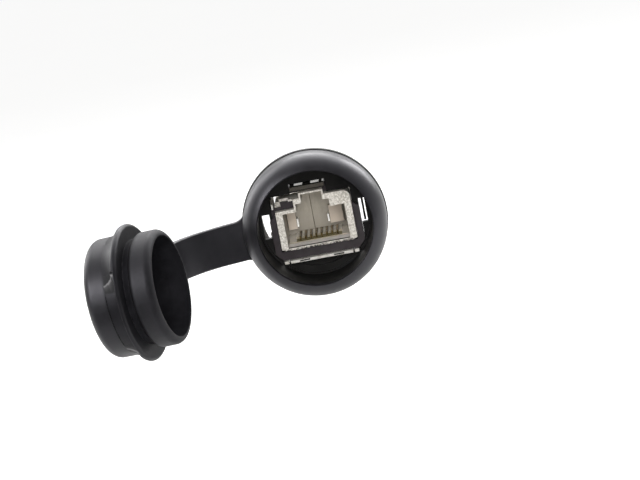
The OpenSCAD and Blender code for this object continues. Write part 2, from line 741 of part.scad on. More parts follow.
// Carrier: a block behind the bulkhead, with a U-shaped nose that comes through beside and below the socket
module coupler_frame() {
    side_slit_x = side_tongue_x + sheet_t + seat_fit;
    block_front = face_y + step_block_depth;
    block_back = face_y + shoulder_step - seat_fit;
    block_right = step_x - seat_fit;
    block_left = -cast_x + pin_side + pin_r + seat_fit;
    block_bottom = band_z + seat_fit;
    bridge_top = band_z + bridge_h + seat_fit;
    color("#3a393c") {
        difference() {
            union() {
                plate(carrier_front, carrier_back)
                    clipped(carrier_w, carrier_bottom, carrier_top, carrier_chamfer);
                plate(nose_front, carrier_front + face_fit) nose_outline(0);
            }
            plate(nose_front - cut, carrier_back + cut) {
                cast_opening(seat_fit);
                span(-side_slit_x, side_tongue_z[0] - seat_fit, 0, side_tongue_z[1] + seat_fit);
            }
        }
        plate(block_front, block_back) {
            span(-window_x - bridge_w, port_top - nose_corner, -window_x, bridge_top);
            span(-window_x - bridge_w, block_bottom, block_right, bridge_top);
            span(block_left, block_bottom, block_right, block_bottom + step_block_h);
        }
    }
}

// Clip: one stamped sheet round the back of the carrier, with tongues that reach forward past it
module ground_clip() {
    tongue_y = face_y - tongue_front;
    tab_y = tongue_y + sheet_t;
    split_y = bulkhead_back;
    web_x = carrier_w / 2 - sheet_t;
    web_bottom = lower_z - sheet_t;
    web_top = upper_z + sheet_t;
    tongue_back_x = web_x - carrier_corner;
    window_in = (window_pitch - window_w) / 2;
    window_out = (window_pitch + window_w) / 2;
    lug_end = upper_tongue_w / 2;
    lugs = [[-lug_end, -window_out], [-window_in, window_in], [window_out, lug_end - sheet_t]];
    color("#b9b7b0") {
        plate(carrier_back + face_fit, clip_back) difference() {
            union() {
                clipped(2 * web_x, web_bottom, web_top, carrier_chamfer);
                span(-web_x - ear_reach, -ear_drop - ear_h, 0, -ear_drop);
            }
            cast_opening(seat_fit);
        }
        translate([0, 0, web_bottom]) {
            translate([-tongue_back_x, split_y, 0]) cube([2 * tongue_back_x, clip_back - split_y, sheet_t]);
            translate([-end_tab[1], split_y, 0]) cube([2 * end_tab[1], carrier_back - split_y, sheet_t]);
        }
        difference() {
            union() {
                plate(tongue_y, split_y + cut) span(-tongue_w / 2, web_bottom, tongue_w / 2, lower_z);
                plate(tongue_y, tongue_y + sheet_t) span(-tongue_w / 2, lower_z - lip_h, tongue_w / 2, lower_z);
            }
            for (side = [-1, 1])
                plate(tongue_y - cut, tongue_y + lip_hole_l) translate([side * lip_hole_x, 0])
                    span(-lip_hole_w / 2, lower_z - lip_h + lip_rim, lip_hole_w / 2, lower_z - lip_rim);
        }
        for (side = [0, 1])
            mirror([side, 0, 0]) {
                translate([end_tab[0], tab_y, web_bottom]) cube([tab_w, split_y + cut - tab_y, sheet_t]);
                translate([end_tab[0], tab_y, -tab_bottom]) cube([tab_w, sheet_t, lip_h + tab_drop]);
            }
        translate([-upper_tongue_out, 0, 0]) {
            translate([-upper_tongue_w / 2, face_y, upper_z])
                cube([upper_tongue_w, clip_back - face_y, sheet_t]);
            plate(face_y, face_y + sheet_t)
                span(-upper_tongue_w / 2, web_top - bar_h, upper_tongue_w / 2, web_top);
            for (lug = lugs)
                translate([lug[0], bulkhead_front, upper_z])
                    cube([lug[1] - lug[0], sheet_t, sheet_t + lug_h]);
        }
        translate([-side_tongue_x - sheet_t, face_y, side_tongue_z[0]])
            cube([sheet_t, clip_back - face_y, side_tongue_z[1] - side_tongue_z[0]]);
    }
}

// Each half of the coupler is drawn backwards from the socket's face, then placed at the front or at the rear
module at_front() {
    translate([0, face_y, 0]) children();
}

module at_rear() {
    translate([0, face_y + 2 * half_l, 0]) rotate([0, 0, 180]) children();
}

module cast_outline() {
    x = cast_x;
    r = shoulder_round;
    polygon([
        [-x, cast_bottom + foot_h], [-x + foot_w, cast_bottom],
        [x - foot_w, cast_bottom], [x, cast_bottom + foot_h],
        [x, shoulder_top - r], [-x, shoulder_top - r]
    ]);
    for (side = [-1, 1]) translate([side * (x - r), shoulder_top - r]) circle(r);
    span(-x + r, 0, x - r, shoulder_top);
    span(-roof_x, 0, roof_x, cast_top);
}

module port_outline() {
    span(-port_w / 2, -port_floor, port_w / 2, port_top);
    span(-key_wide_w / 2, 0, key_wide_w / 2, key_wide_top);
    span(-key_narrow_w / 2, 0, key_narrow_w / 2, key_narrow_top);
}

module pocket_outline(gap) {
    span(-pocket_x + gap, -port_floor + gap, pocket_x - gap, pocket_top - gap);
    span(-key_narrow_w / 2 + gap, 0, key_narrow_w / 2 - gap, key_narrow_top - gap);
}

// Socket: a die-cast shell with a stepped keyway, one shoulder stepped back with a pin and a post in the step
module socket() {
    post_right = step_x - seat_fit;
    post_bottom = band_z + step_block_h + 2 * seat_fit;
    pin_at = [-cast_x + pin_side, shoulder_top - pin_drop];
    eject_at = [cast_x - eject_r - eject_side, shoulder_top - eject_r - eject_top];
    color("#c9c4b8") {
        difference() {
            plate(0, half_l - face_fit) cast_outline();
            plate(-cut, port_depth) port_outline();
            plate(port_depth, half_l + cut) pocket_outline(0);
            plate(-cut, shoulder_step) span(-cast_x - cut, band_z, step_x, cast_top);
            plate(-cut, eject_depth) translate(eject_at) difference() {
                circle(eject_r);
                circle(eject_r - eject_w);
            }
        }
        plate(post_depth, shoulder_step + face_fit)
            span(post_right - post_w, post_bottom, post_right, shoulder_top);
        plate(post_depth, shoulder_step + face_fit) translate(pin_at) circle(pin_r);
    }
}

// Contact block: rear wall with two raised panels, a comb with a slot for each wire, and a thin floor plate
module contact_block() {
    comb_x = contact_count / 2 * contact_pitch + comb_margin;
    plate_front = hairpin_depth - floor_plate_l;
    color("#8f897e") difference() {
        union() {
            plate(port_depth + face_fit, board_depth - face_fit) pocket_outline(seat_fit);
            for (p = panels)
                plate(port_depth - panel_t, port_depth + 2 * face_fit)
                    span(p[0], panel_z, p[1], panel_z + panel_h);
            plate(comb_depth, port_depth + 2 * face_fit)
                span(-comb_x, -port_floor + face_fit, comb_x, comb_top);
            plate(plate_front, port_depth + 2 * face_fit)
                span(-block_x, -port_floor + face_fit, block_x, -port_floor + floor_plate_t);
        }
        plate(port_depth - cut, port_depth + face_fit + seam_depth)
            translate([-seam_out, 0]) span(-seam_w / 2, comb_top + face_fit, seam_w / 2, key_narrow_top + cut);
        plate(port_depth, port_depth + panel_slit_depth) {
            for (p = panels) span(p[0], panel_z - panel_slit, p[1], panel_z);
            span(panels[1][1], panel_z - panel_slit, block_x - panel_slit, panel_z + panel_h);
        }
        for (i = [1:contact_count])
            translate([contact_x(i), 0, 0]) {
                plate(comb_depth - cut, comb_back)
                    span(-comb_slot_w / 2, comb_floor, comb_slot_w / 2, comb_top + cut);
                plate(comb_back - cut, board_depth + cut)
                    span(-comb_slot_w / 2, comb_floor, comb_slot_w / 2, leg_z + contact_t / 2 + seat_fit);
            }
    }
}

function contact_x(i) = (i - (contact_count + 1) / 2) * contact_pitch;

// Straight run of a wire between two points drawn as depth and height, with a round joint at its end
module wire_run(a, b) {
    d = b - a;
    translate(a) rotate(atan2(d[1], d[0])) translate([0, -contact_t / 2]) square([norm(d), contact_t]);
    translate(b) circle(contact_t / 2, $fn = 24);
}

// Contact: a leg from the board through the comb, a hairpin at the front and a spring arm up into the port
module contact(i) {
    route = [
        [board_depth - face_fit, leg_z], [hairpin_depth, leg_z],
        [hairpin_depth - hairpin_nose, leg_z + hairpin_rise / 2],
        [hairpin_depth, leg_z + hairpin_rise], arm_end
    ];
    color("#b59a55") translate([contact_x(i) - contact_w / 2, 0, 0])
        rotate([90, 0, 90]) linear_extrude(contact_w)
            for (k = [0:len(route) - 2]) wire_run(route[k], route[k + 1]);
}

// Earthing spring: a short folded strip beside a panel of the contact block
module earth_spring(side) {
    x = side < 0 ? -left_panel_x + seat_fit : right_panel_x - seat_fit - sheet_t;
    color("#d8d5cc") translate([x, port_depth - spring_l, comb_top + spring_lift])
        cube([sheet_t, spring_l, spring_h]);
}

module coupler_board() {
    color("#2f5d3a") plate(face_y + board_depth, face_y + board_depth + board_t)
        span(-pocket_x + seat_fit, -port_floor + seat_fit, pocket_x - seat_fit, pocket_top - seat_fit);
}

housing();
bezel_ring();
panel_gasket();
ring_nut();
cap_strap();
sealing_cap();
coupler_frame();
ground_clip();
coupler_board();
at_front() socket();  // front_socket
at_rear() socket();  // rear_socket
at_front() contact_block();  // front_contact_block
at_rear() contact_block();  // rear_contact_block
at_front() earth_spring(-1);  // front_spring_left
at_front() earth_spring(1);  // front_spring_right
at_rear() earth_spring(-1);  // rear_spring_left
at_rear() earth_spring(1);  // rear_spring_right
for (i = [1:contact_count]) {
    at_front() contact(i);
    at_rear() contact(i);
}
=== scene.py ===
import json
import math
import bmesh
import bpy
from mathutils import Matrix, Quaternion, Vector


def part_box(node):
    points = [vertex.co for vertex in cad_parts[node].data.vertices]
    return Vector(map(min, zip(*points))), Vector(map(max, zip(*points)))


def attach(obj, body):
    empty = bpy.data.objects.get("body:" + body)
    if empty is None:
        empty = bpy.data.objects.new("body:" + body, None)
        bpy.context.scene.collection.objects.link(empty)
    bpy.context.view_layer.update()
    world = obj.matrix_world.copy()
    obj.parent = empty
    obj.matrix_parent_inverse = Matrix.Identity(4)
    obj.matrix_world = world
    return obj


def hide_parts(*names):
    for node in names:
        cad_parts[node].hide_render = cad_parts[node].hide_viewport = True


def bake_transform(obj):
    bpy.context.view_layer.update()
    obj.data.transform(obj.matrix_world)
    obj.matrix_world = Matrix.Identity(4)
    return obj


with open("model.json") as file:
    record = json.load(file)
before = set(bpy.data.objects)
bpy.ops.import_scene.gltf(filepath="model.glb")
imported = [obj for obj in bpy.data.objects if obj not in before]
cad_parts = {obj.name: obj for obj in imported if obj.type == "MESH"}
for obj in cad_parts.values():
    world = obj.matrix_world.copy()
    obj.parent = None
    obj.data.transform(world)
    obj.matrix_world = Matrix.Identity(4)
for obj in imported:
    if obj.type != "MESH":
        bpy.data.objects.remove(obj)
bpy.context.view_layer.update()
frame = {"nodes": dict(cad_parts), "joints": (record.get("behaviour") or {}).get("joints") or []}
parts = frame["nodes"]
MM = 0.001

# Housing: one hard black nylon moulding with flange, collar, slotted bulkhead and threaded barrel.
# The mould leaves a fine spark-eroded grain on it.
# The thread is moulded on the barrel and holds the nut.
housing_colour = (0.0115, 0.0112, 0.0108)
bore_r, bore_edge = 10.75 * MM, 0.05 * MM
bore_shine, housing_shine = 0.12, 0.4
thread_pitch = 1.5 * MM
thread_root_r, thread_crest_r = 10.86 * MM, 11.08 * MM
thread_from, thread_to = 2.75 * MM, 8.75 * MM
thread_flank, thread_crest = 0.62 * MM, 0.13 * MM
steps_round, run_out, run_out_least = 96, 40, 0.02


def place_in(tree):
    """Place of each point of a piece, in metres."""
    return tree.nodes.new("ShaderNodeTexCoord").outputs["Object"]


def shader_of(finish):
    return finish.node_tree.nodes["Principled BSDF"]


def start_finish(name):
    finish = bpy.data.materials.new(name)
    finish.use_nodes = True
    return finish, finish.node_tree, shader_of(finish), place_in(finish.node_tree)


def speckle(tree, place, size_mm, detail=2.0, rough=0.5, stretch=None):
    """Cloudy pattern with spots of about that size; stretch draws it out along an axis."""
    if stretch:
        mapping = tree.nodes.new("ShaderNodeMapping")
        mapping.inputs["Scale"].default_value = stretch
        tree.links.new(place, mapping.inputs["Vector"])
        place = mapping.outputs["Vector"]
    noise = tree.nodes.new("ShaderNodeTexNoise")
    noise.inputs["Scale"].default_value = 1 / (size_mm * MM)
    noise.inputs["Detail"].default_value = detail
    noise.inputs["Roughness"].default_value = rough
    tree.links.new(place, noise.inputs["Vector"])
    return noise.outputs["Fac"]


def spread(tree, pattern, low, high, start=0.3, end=0.7):
    """Turns a pattern into values from low to high."""
    fit = tree.nodes.new("ShaderNodeMapRange")
    ends = (("From Min", start), ("From Max", end), ("To Min", low), ("To Max", high))
    for name, value in ends:
        fit.inputs[name].default_value = value
    tree.links.new(pattern, fit.inputs["Value"])
    return fit.outputs["Result"]


def tint(tree, pattern, stops):
    """Turns a pattern into colours, from a list of places and colours."""
    ramp = tree.nodes.new("ShaderNodeValToRGB")
    while len(ramp.color_ramp.elements) < len(stops):
        ramp.color_ramp.elements.new(1.0)
    for element, (position, colour) in zip(ramp.color_ramp.elements, stops):
        element.position = position
        element.color = (*colour, 1)
    tree.links.new(pattern, ramp.inputs["Fac"])
    return ramp.outputs["Color"]


def rounded_edges(tree, edge_mm, samples=6):
    edge = tree.nodes.new("ShaderNodeBevel")
    edge.samples = samples
    edge.inputs["Radius"].default_value = edge_mm * MM
    return edge.outputs["Normal"]


def relief(tree, shader, pattern, depth_mm, edge_mm):
    """Raises a pattern on the surface and rounds the sharp edges by that radius."""
    bump = tree.nodes.new("ShaderNodeBump")
    bump.inputs["Strength"].default_value = 1.0
    bump.inputs["Distance"].default_value = depth_mm * MM
    tree.links.new(pattern, bump.inputs["Height"])
    tree.links.new(rounded_edges(tree, edge_mm), bump.inputs["Normal"])
    tree.links.new(bump.outputs["Normal"], shader.inputs["Normal"])


def times(colour, factor):
    return tuple(c * factor for c in colour)


def moulding(name, colour, gloss, grain_mm, depth_mm, edge_mm, cloud_mm=4.0, cloud=0.25,
             shine=(1.0, 1.0, 1.0)):
    """Moulded plastic or rubber with slow clouding, mould grain and slightly rounded edges."""
    finish, tree, shader, place = start_finish(name)
    clouds = speckle(tree, place, cloud_mm, detail=3.0, rough=0.6)
    stops = [(0.3, times(colour, 1 - cloud)), (0.7, times(colour, 1 + cloud))]
    tree.links.new(tint(tree, clouds, stops), shader.inputs["Base Color"])
    tree.links.new(spread(tree, clouds, *gloss), shader.inputs["Roughness"])
    shader.inputs["Specular Tint"].default_value = (*shine, 1)
    relief(tree, shader, speckle(tree, place, grain_mm), depth_mm, edge_mm)
    return finish


def dress(names, finish):
    for name in names:
        parts[name].data.materials.clear()
        parts[name].data.materials.append(finish)


def vectors(tree, operation, first, second=None, output="Value"):
    """Vector maths on a pattern, alone or with a fixed vector or a second pattern."""
    node = tree.nodes.new("ShaderNodeVectorMath")
    node.operation = operation
    tree.links.new(first, node.inputs[0])
    if isinstance(second, bpy.types.NodeSocket):
        tree.links.new(second, node.inputs[1])
    elif second is not None:
        node.inputs[1].default_value = second
    return node.outputs[output]


def from_axis(tree):
    """Distance from the connector's axis."""
    return vectors(tree, "LENGTH", vectors(tree, "MULTIPLY", place_in(tree), (1, 0, 1), "Vector"))


def dull_bore(finish, outer_shine):
    """Takes the shine off the surfaces inside the connector's bore."""
    tree = finish.node_tree
    shine = spread(tree, from_axis(tree), bore_shine, outer_shine,
                   start=bore_r - bore_edge, end=bore_r + bore_edge)
    tree.links.new(shine, shader_of(finish).inputs["Specular IOR Level"])


housing_black = moulding("housing_black", housing_colour, gloss=(0.38, 0.52),
                         grain_mm=0.16, depth_mm=0.010, edge_mm=0.12)
dress(["housing"], housing_black)
dull_bore(housing_black, housing_shine)


def new_piece(name, points, faces, finish, smooth_angle=35):
    mesh = bpy.data.meshes.new(name)
    mesh.from_pydata(points, [], faces)
    build = bmesh.new()
    build.from_mesh(mesh)
    bmesh.ops.recalc_face_normals(build, faces=build.faces)
    build.to_mesh(mesh)
    build.free()
    mesh.shade_smooth()
    mesh.set_sharp_from_angle(angle=math.radians(smooth_angle))
    mesh.materials.append(finish)
    piece = bpy.data.objects.new(name, mesh)
    bpy.context.scene.collection.objects.link(piece)
    return piece


def swept(sections, first_face=True, last_face=True):
    """Skin over a row of like sections, with an end face where that is asked for."""
    count = len(sections[0])
    points = [p for section in sections for p in section]
    faces = []
    for i in range(len(sections) - 1):
        for k in range(count):
            a, b = i * count + k, i * count + (k + 1) % count
            faces.append((a, b, b + count, a + count))
    first = tuple(range(count - 1, -1, -1))
    last = tuple(range(len(points) - count, len(points)))
    return points, faces + [first] * first_face + [last] * last_face


thread_steps = round((thread_to - thread_from) / thread_pitch * steps_round)
thread_sections = []
for i in range(thread_steps + 1):
    angle = 2 * math.pi * i / steps_round
    y = thread_from + thread_pitch * i / steps_round
    full = min(1.0, i / run_out, (thread_steps - i) / run_out)
    crest_r = thread_root_r + (thread_crest_r - thread_root_r) * max(full, run_out_least)
    profile = [(thread_root_r, -thread_flank), (crest_r, -thread_crest),
               (crest_r, thread_crest), (thread_root_r, thread_flank)]
    thread_sections.append([(r * math.cos(angle), y + dy, -r * math.sin(angle))
                            for r, dy in profile])
thread = new_piece("barrel_thread", *swept(thread_sections), housing_black)
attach(thread, "connector")

# Gasket: a flat ring punched from soft black rubber sheet, matt with a trace of talc.
# It lies behind the flange and is pressed against the panel by the nut.
gasket_colour = (0.016, 0.016, 0.015)
gasket_rubber = moulding("gasket_rubber", gasket_colour, gloss=(0.72, 0.9), grain_mm=0.09,
                         depth_mm=0.012, edge_mm=0.08, cloud_mm=2.2, cloud=0.5)
dress(["panel_gasket"], gasket_rubber)

# Ring nut: moulded in black glass-filled nylon, which leaves pale streaks in its surface.
# It is screwed onto the barrel from behind with a spanner in its slots.
nut_colour = (0.017, 0.017, 0.017)
nut_black = moulding("nut_black", nut_colour, gloss=(0.42, 0.62), grain_mm=0.22,
                     depth_mm=0.014, edge_mm=0.15, cloud_mm=1.6, cloud=0.45)
dress(["ring_nut"], nut_black)

# Carrier: a dark grey moulding that holds the two sockets together behind the bulkhead.
# Its nose comes forward through the bulkhead beside and below the front socket.
carrier_colour = (0.034, 0.029, 0.031)
carrier_grey = moulding("carrier_grey", carrier_colour, gloss=(0.4, 0.55), grain_mm=0.14,
                        depth_mm=0.008, edge_mm=0.1, cloud_mm=2.5, cloud=0.2)
dress(["coupler_frame"], carrier_grey)

# Ground clip: stamped from bright tinned spring sheet and folded round the back of the carrier.
# Its tongues reach forward beside the sockets and touch the plug's shield.
# Its fold, lugs and upper strip are painted dark as painted shade where the bulkhead shades them;
# the strip shows bright only in the windows between lugs.
sheet_dull, sheet_bright = (0.56, 0.53, 0.47), (0.86, 0.84, 0.79)
clip_metal, clip_shine = 0.35, 0.5
fold_painted_shade, lug_painted_shade = (0.09, 0.082, 0.068), (0.008, 0.008, 0.007)
fold_z = 4.2 * MM
lug_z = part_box("ground_clip")[1].z - 0.3 * MM
lug_x = [(-3.8 * MM, -2.83 * MM), (-1.23 * MM, 0.33 * MM), (1.92 * MM, 2.5 * MM)]
clip_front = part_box("front_socket")[0].y - 0.1 * MM
clip_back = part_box("ground_clip")[1].y + 0.1 * MM
window_from, window_to = clip_front + 1.5 * MM, clip_front + 4.0 * MM
clip_edge, band_edge = 0.02 * MM, 0.04 * MM


def bright_sheet(name, dull, bright, metal, gloss, grain_mm, depth_mm):
    """Rolled metal sheet with fine lines along the strip and slightly broken edges."""
    finish, tree, shader, place = start_finish(name)
    shader.inputs["Metallic"].default_value = metal
    lines = speckle(tree, place, grain_mm, detail=3.0, rough=0.6, stretch=(1.0, 0.08, 1.0))
    patches = tint(tree, speckle(tree, place, size_mm=1.4), [(0.32, dull), (0.62, bright)])
    tree.links.new(patches, shader.inputs["Base Color"])
    tree.links.new(spread(tree, lines, *gloss), shader.inputs["Roughness"])
    relief(tree, shader, lines, depth_mm, edge_mm=0.05)
    return finish


def combine(tree, operation, first, second=None):
    """Maths on one pattern or on two."""
    node = tree.nodes.new("ShaderNodeMath")
    node.operation = operation
    tree.links.new(first, node.inputs[0])
    if second is not None:
        tree.links.new(second, node.inputs[1])
    return node.outputs["Value"]


def both(tree, first, second):
    """Share that two shares have in common."""
    return combine(tree, "MULTIPLY", first, second)


def axis_of(tree, vector, axis):
    split = tree.nodes.new("ShaderNodeSeparateXYZ")
    tree.links.new(vector, split.inputs["Vector"])
    return split.outputs[axis]


def facing_of(tree):
    """Direction in which a surface faces."""
    return tree.nodes.new("ShaderNodeNewGeometry").outputs["Normal"]


def facing_front(tree):
    """Share of a surface that faces the front of the connector."""
    return spread(tree, axis_of(tree, facing_of(tree), "Y"), 0.0, 1.0, start=-0.6, end=-0.8)


def facing_up(tree):
    """Share of a surface that faces upwards."""
    return spread(tree, axis_of(tree, facing_of(tree), "Z"), 0.0, 1.0, start=0.6, end=0.8)


def beyond(tree, axis, start, end):
    """Share that rises from 0 to 1 between two places along an axis."""
    return spread(tree, axis_of(tree, place_in(tree), axis), 0.0, 1.0, start, end)


def between(tree, axis, start, end):
    """Share that is 1 between two places along an axis and 0 elsewhere."""
    return both(tree, beyond(tree, axis, start - band_edge, start + band_edge),
                beyond(tree, axis, end + band_edge, end - band_edge))


def paint(finish, colour, share):
    """Covers a share of a finish with another colour."""
    tree = finish.node_tree
    base = shader_of(finish).inputs["Base Color"]
    mix = tree.nodes.new("ShaderNodeMix")
    mix.data_type = "RGBA"
    under, over, mixed = mix.inputs[6], mix.inputs[7], mix.outputs[2]
    tree.links.new(share, mix.inputs["Factor"])
    tree.links.new(base.links[0].from_socket, under)
    over.default_value = (*colour, 1)
    tree.links.new(mixed, base)


clip_sheet = bright_sheet("clip_sheet", sheet_dull, sheet_bright, clip_metal,
                          gloss=(0.22, 0.42), grain_mm=0.08, depth_mm=0.004)
dress(["ground_clip"], clip_sheet)
clip_tree = clip_sheet.node_tree
# The front faces above the fold and above the lugs are painted dark, as painted shade.
for edge_shade_colour, edge_z in ((fold_painted_shade, fold_z), (lug_painted_shade, lug_z)):
    above = beyond(clip_tree, "Z", edge_z - clip_edge, edge_z + clip_edge)
    paint(clip_sheet, edge_shade_colour, both(clip_tree, facing_front(clip_tree), above))
# The upper faces above the fold are painted dark and lose their shine, as painted shade, except in
# the windows between the lugs.
clip_shade = between(clip_tree, "Y", clip_front, window_from)
for axis, start, end in [("Y", window_to, clip_back)] + [("X", *lug) for lug in lug_x]:
    clip_shade = combine(clip_tree, "MAXIMUM", clip_shade, between(clip_tree, axis, start, end))
clip_upper = both(clip_tree, facing_up(clip_tree),
                  beyond(clip_tree, "Z", fold_z - clip_edge, fold_z + clip_edge))
clip_shade = both(clip_tree, clip_shade, clip_upper)
paint(clip_sheet, lug_painted_shade, clip_shade)
for name, plain in (("Metallic", clip_metal), ("Specular IOR Level", clip_shine)):
    clip_tree.links.new(spread(clip_tree, clip_shade, plain, 0.0, start=0.0, end=1.0),
                        shader_of(clip_sheet).inputs[name])

# Sockets: two like shells of die-cast zinc, plated, with the grainy skin of the casting.
# Their walls are smoother than their ends, and the front's lower edge is ragged and dark.
# They stand back to back on the board, one to the front and one to the rear.
zinc_pit, zinc_skin, zinc_high = (0.31, 0.285, 0.24), (0.62, 0.585, 0.525), (0.87, 0.84, 0.79)
zinc_metal, zinc_shine, zinc_gloss = 0.15, 0.3, (0.58, 0.72)
wall_plain = 0.62
foot_dark, port_painted_light, port_edge = (0.03, 0.027, 0.024), (0.95, 0.9, 0.86), (0.05, 0.043, 0.038)
zinc_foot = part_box("front_socket")[0].z
foot_top, foot_full = zinc_foot + 0.5 * MM, zinc_foot + 0.1 * MM
port_z, port_y = zinc_foot + 0.45 * MM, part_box("front_socket")[0].y
port_margin, port_edge_w = 0.1 * MM, 1.0 * MM

zinc_finish, zinc_tree, zinc_shader, zinc_place = start_finish("cast_zinc")
zinc_grain = speckle(zinc_tree, zinc_place, size_mm=0.42, detail=4.0, rough=0.72)
zinc_waves = speckle(zinc_tree, zinc_place, size_mm=1.1)
zinc_stops = [(0.34, zinc_pit), (0.5, zinc_skin), (0.66, zinc_high)]
zinc_tree.links.new(tint(zinc_tree, zinc_grain, zinc_stops), zinc_shader.inputs["Base Color"])
zinc_tree.links.new(spread(zinc_tree, zinc_waves, *zinc_gloss), zinc_shader.inputs["Roughness"])
zinc_shader.inputs["Metallic"].default_value = zinc_metal
zinc_shader.inputs["Specular IOR Level"].default_value = zinc_shine
zinc_ends = combine(zinc_tree, "ABSOLUTE", axis_of(zinc_tree, facing_of(zinc_tree), "Y"))
paint(zinc_finish, zinc_skin, spread(zinc_tree, zinc_ends, wall_plain, 0.0, start=0.3, end=0.8))
# The port's floor is painted pale, as painted light from above; a strip at its front edge is
# painted dark.
port_floor = both(zinc_tree, facing_up(zinc_tree),
                  between(zinc_tree, "Z", port_z - port_margin, port_z + port_margin))
port_front = between(zinc_tree, "Y", port_y - port_margin, port_y + port_edge_w)
paint(zinc_finish, port_painted_light, port_floor)
paint(zinc_finish, port_edge, both(zinc_tree, port_floor, port_front))
foot_low = both(zinc_tree, beyond(zinc_tree, "Z", foot_top, foot_full), facing_front(zinc_tree))
foot_grain = speckle(zinc_tree, zinc_place, size_mm=0.3, detail=3.0, rough=0.6)
foot_ragged = spread(zinc_tree, foot_grain, 0.0, 1.0, start=0.44, end=0.54)
paint(zinc_finish, foot_dark, both(zinc_tree, foot_low, foot_ragged))
relief(zinc_tree, zinc_shader, zinc_grain, depth_mm=0.05, edge_mm=0.08)
dress(["front_socket", "rear_socket"], zinc_finish)

# Contact blocks: warm grey liquid-crystal plastic, with the faint flow lines of that plastic.
# Each is pushed into its socket from behind and guides eight wires in its comb.
insert_colour = (0.41, 0.375, 0.315)
insert_gloss = (0.42, 0.6)
panel_colour, comb_colour, floor_painted_light = (0.52, 0.45, 0.375), (0.3, 0.265, 0.2), (0.74, 0.69, 0.61)
corner_shade, corner_share, corner_reach = (0.09, 0.075, 0.055), 0.85, 0.5 * MM
plate_olive = (0.25, 0.21, 0.105)
panel_y, block_edge = 11.4 * MM, 0.1 * MM
wall_shade = times(insert_colour, 0.66)
wall_shade_top, wall_shade_foot = 1.0 * MM, -3.0 * MM
comb_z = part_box("front_contact_1")[1].z
comb_left, comb_half, comb_y = -7 * MM, 4.4 * MM, 7.1 * MM

insert_finish, insert_tree, insert_shader, insert_place = start_finish("insert_taupe")
insert_flow = speckle(insert_tree, insert_place, size_mm=0.8, detail=4.0, rough=0.65,
                      stretch=(1.0, 1.0, 0.35))
insert_stops = [(0.3, times(insert_colour, 0.82)), (0.7, times(insert_colour, 1.16))]
insert_tree.links.new(tint(insert_tree, insert_flow, insert_stops),
                      insert_shader.inputs["Base Color"])
insert_tree.links.new(spread(insert_tree, insert_flow, *insert_gloss),
                      insert_shader.inputs["Roughness"])
insert_grain = speckle(insert_tree, insert_place, size_mm=0.1)
relief(insert_tree, insert_shader, insert_grain, depth_mm=0.006, edge_mm=0.05)
dress(["front_contact_block", "rear_contact_block"], insert_finish)

block_low = beyond(insert_tree, "Z", comb_z + block_edge, comb_z)
block_front = both(insert_tree, facing_front(insert_tree),
                   beyond(insert_tree, "Y", panel_y + block_edge, panel_y))
paint(insert_finish, panel_colour, block_front)
wall_low = both(insert_tree, beyond(insert_tree, "Z", wall_shade_top, wall_shade_foot),
                beyond(insert_tree, "Y", panel_y, panel_y + block_edge))
paint(insert_finish, wall_shade, both(insert_tree, facing_front(insert_tree), wall_low))
corner = insert_tree.nodes.new("ShaderNodeAmbientOcclusion")
corner.samples = 8
corner.inputs["Distance"].default_value = corner_reach
paint(insert_finish, corner_shade,
      spread(insert_tree, corner.outputs["AO"], corner_share, 0.0, start=0.2, end=0.6))
comb_share = both(insert_tree, block_low, between(insert_tree, "X", comb_left, comb_half))
paint(insert_finish, comb_colour, both(insert_tree, block_front, comb_share))
# Up-facing faces low in the block are painted pale, as painted light from above.
block_floor = both(insert_tree, facing_up(insert_tree), block_low)
paint(insert_finish, floor_painted_light, block_floor)
plate_share = both(insert_tree, between(insert_tree, "X", -comb_half, comb_half),
                   between(insert_tree, "Y", 0, comb_y))
paint(insert_finish, plate_olive, both(insert_tree, block_floor, plate_share))

# Contacts: sixteen spring wires of copper alloy, plated with gold over nickel.
# Each runs from the board through the comb, turns back in a hairpin and springs up into the port.
gold_worn, gold_bright = (0.11, 0.082, 0.038), (0.28, 0.205, 0.085)
contact_count = 8
contact_names = [f"{end}_contact_{i + 1}" for end in ("front", "rear")
                 for i in range(contact_count)]
contact_gold = bright_sheet("contact_gold", gold_worn, gold_bright, metal=0.8,
                            gloss=(0.2, 0.36), grain_mm=0.06, depth_mm=0.003)
dress(contact_names, contact_gold)

# Earthing springs: short folded strips of bright tinned bronze beside the panels of each block.
# They are trapped between the block and the casting and touch the plug's shield.
spring_dull, spring_bright = (0.9, 0.88, 0.83), (0.96, 0.95, 0.92)
spring_names = [f"{end}_spring_{side}" for end in ("front", "rear") for side in ("left", "right")]
earth_spring = bright_sheet("earth_spring", spring_dull, spring_bright, metal=0.0,
                            gloss=(0.2, 0.34), grain_mm=0.07, depth_mm=0.003)
dress(spring_names, earth_spring)

# Board: a small printed circuit between the sockets, of glass laminate with copper tracks under
# green solder resist. The contact wires of both blocks are soldered into it.
resist_base, resist_track = (0.012, 0.075, 0.03), (0.03, 0.15, 0.055)
resist_gloss = (0.25, 0.4)
track_scale, track_width = 900, 0.06
board_finish, board_tree, board_shader, board_place = start_finish("board_resist")
board_tracks = board_tree.nodes.new("ShaderNodeTexBrick")
board_tracks.inputs["Scale"].default_value = track_scale
board_tracks.inputs["Mortar Size"].default_value = track_width
board_tracks.inputs["Color1"].default_value = (*resist_base, 1)
board_tracks.inputs["Color2"].default_value = (*times(resist_base, 1.25), 1)
board_tracks.inputs["Mortar"].default_value = (*resist_track, 1)
board_tree.links.new(board_place, board_tracks.inputs["Vector"])
board_tree.links.new(board_tracks.outputs["Color"], board_shader.inputs["Base Color"])
board_clouds = speckle(board_tree, board_place, size_mm=0.5)
board_tree.links.new(spread(board_tree, board_clouds, *resist_gloss),
                     board_shader.inputs["Roughness"])
relief(board_tree, board_shader, board_tracks.outputs["Fac"], depth_mm=0.02, edge_mm=0.05)
dress(["coupler_board"], board_finish)

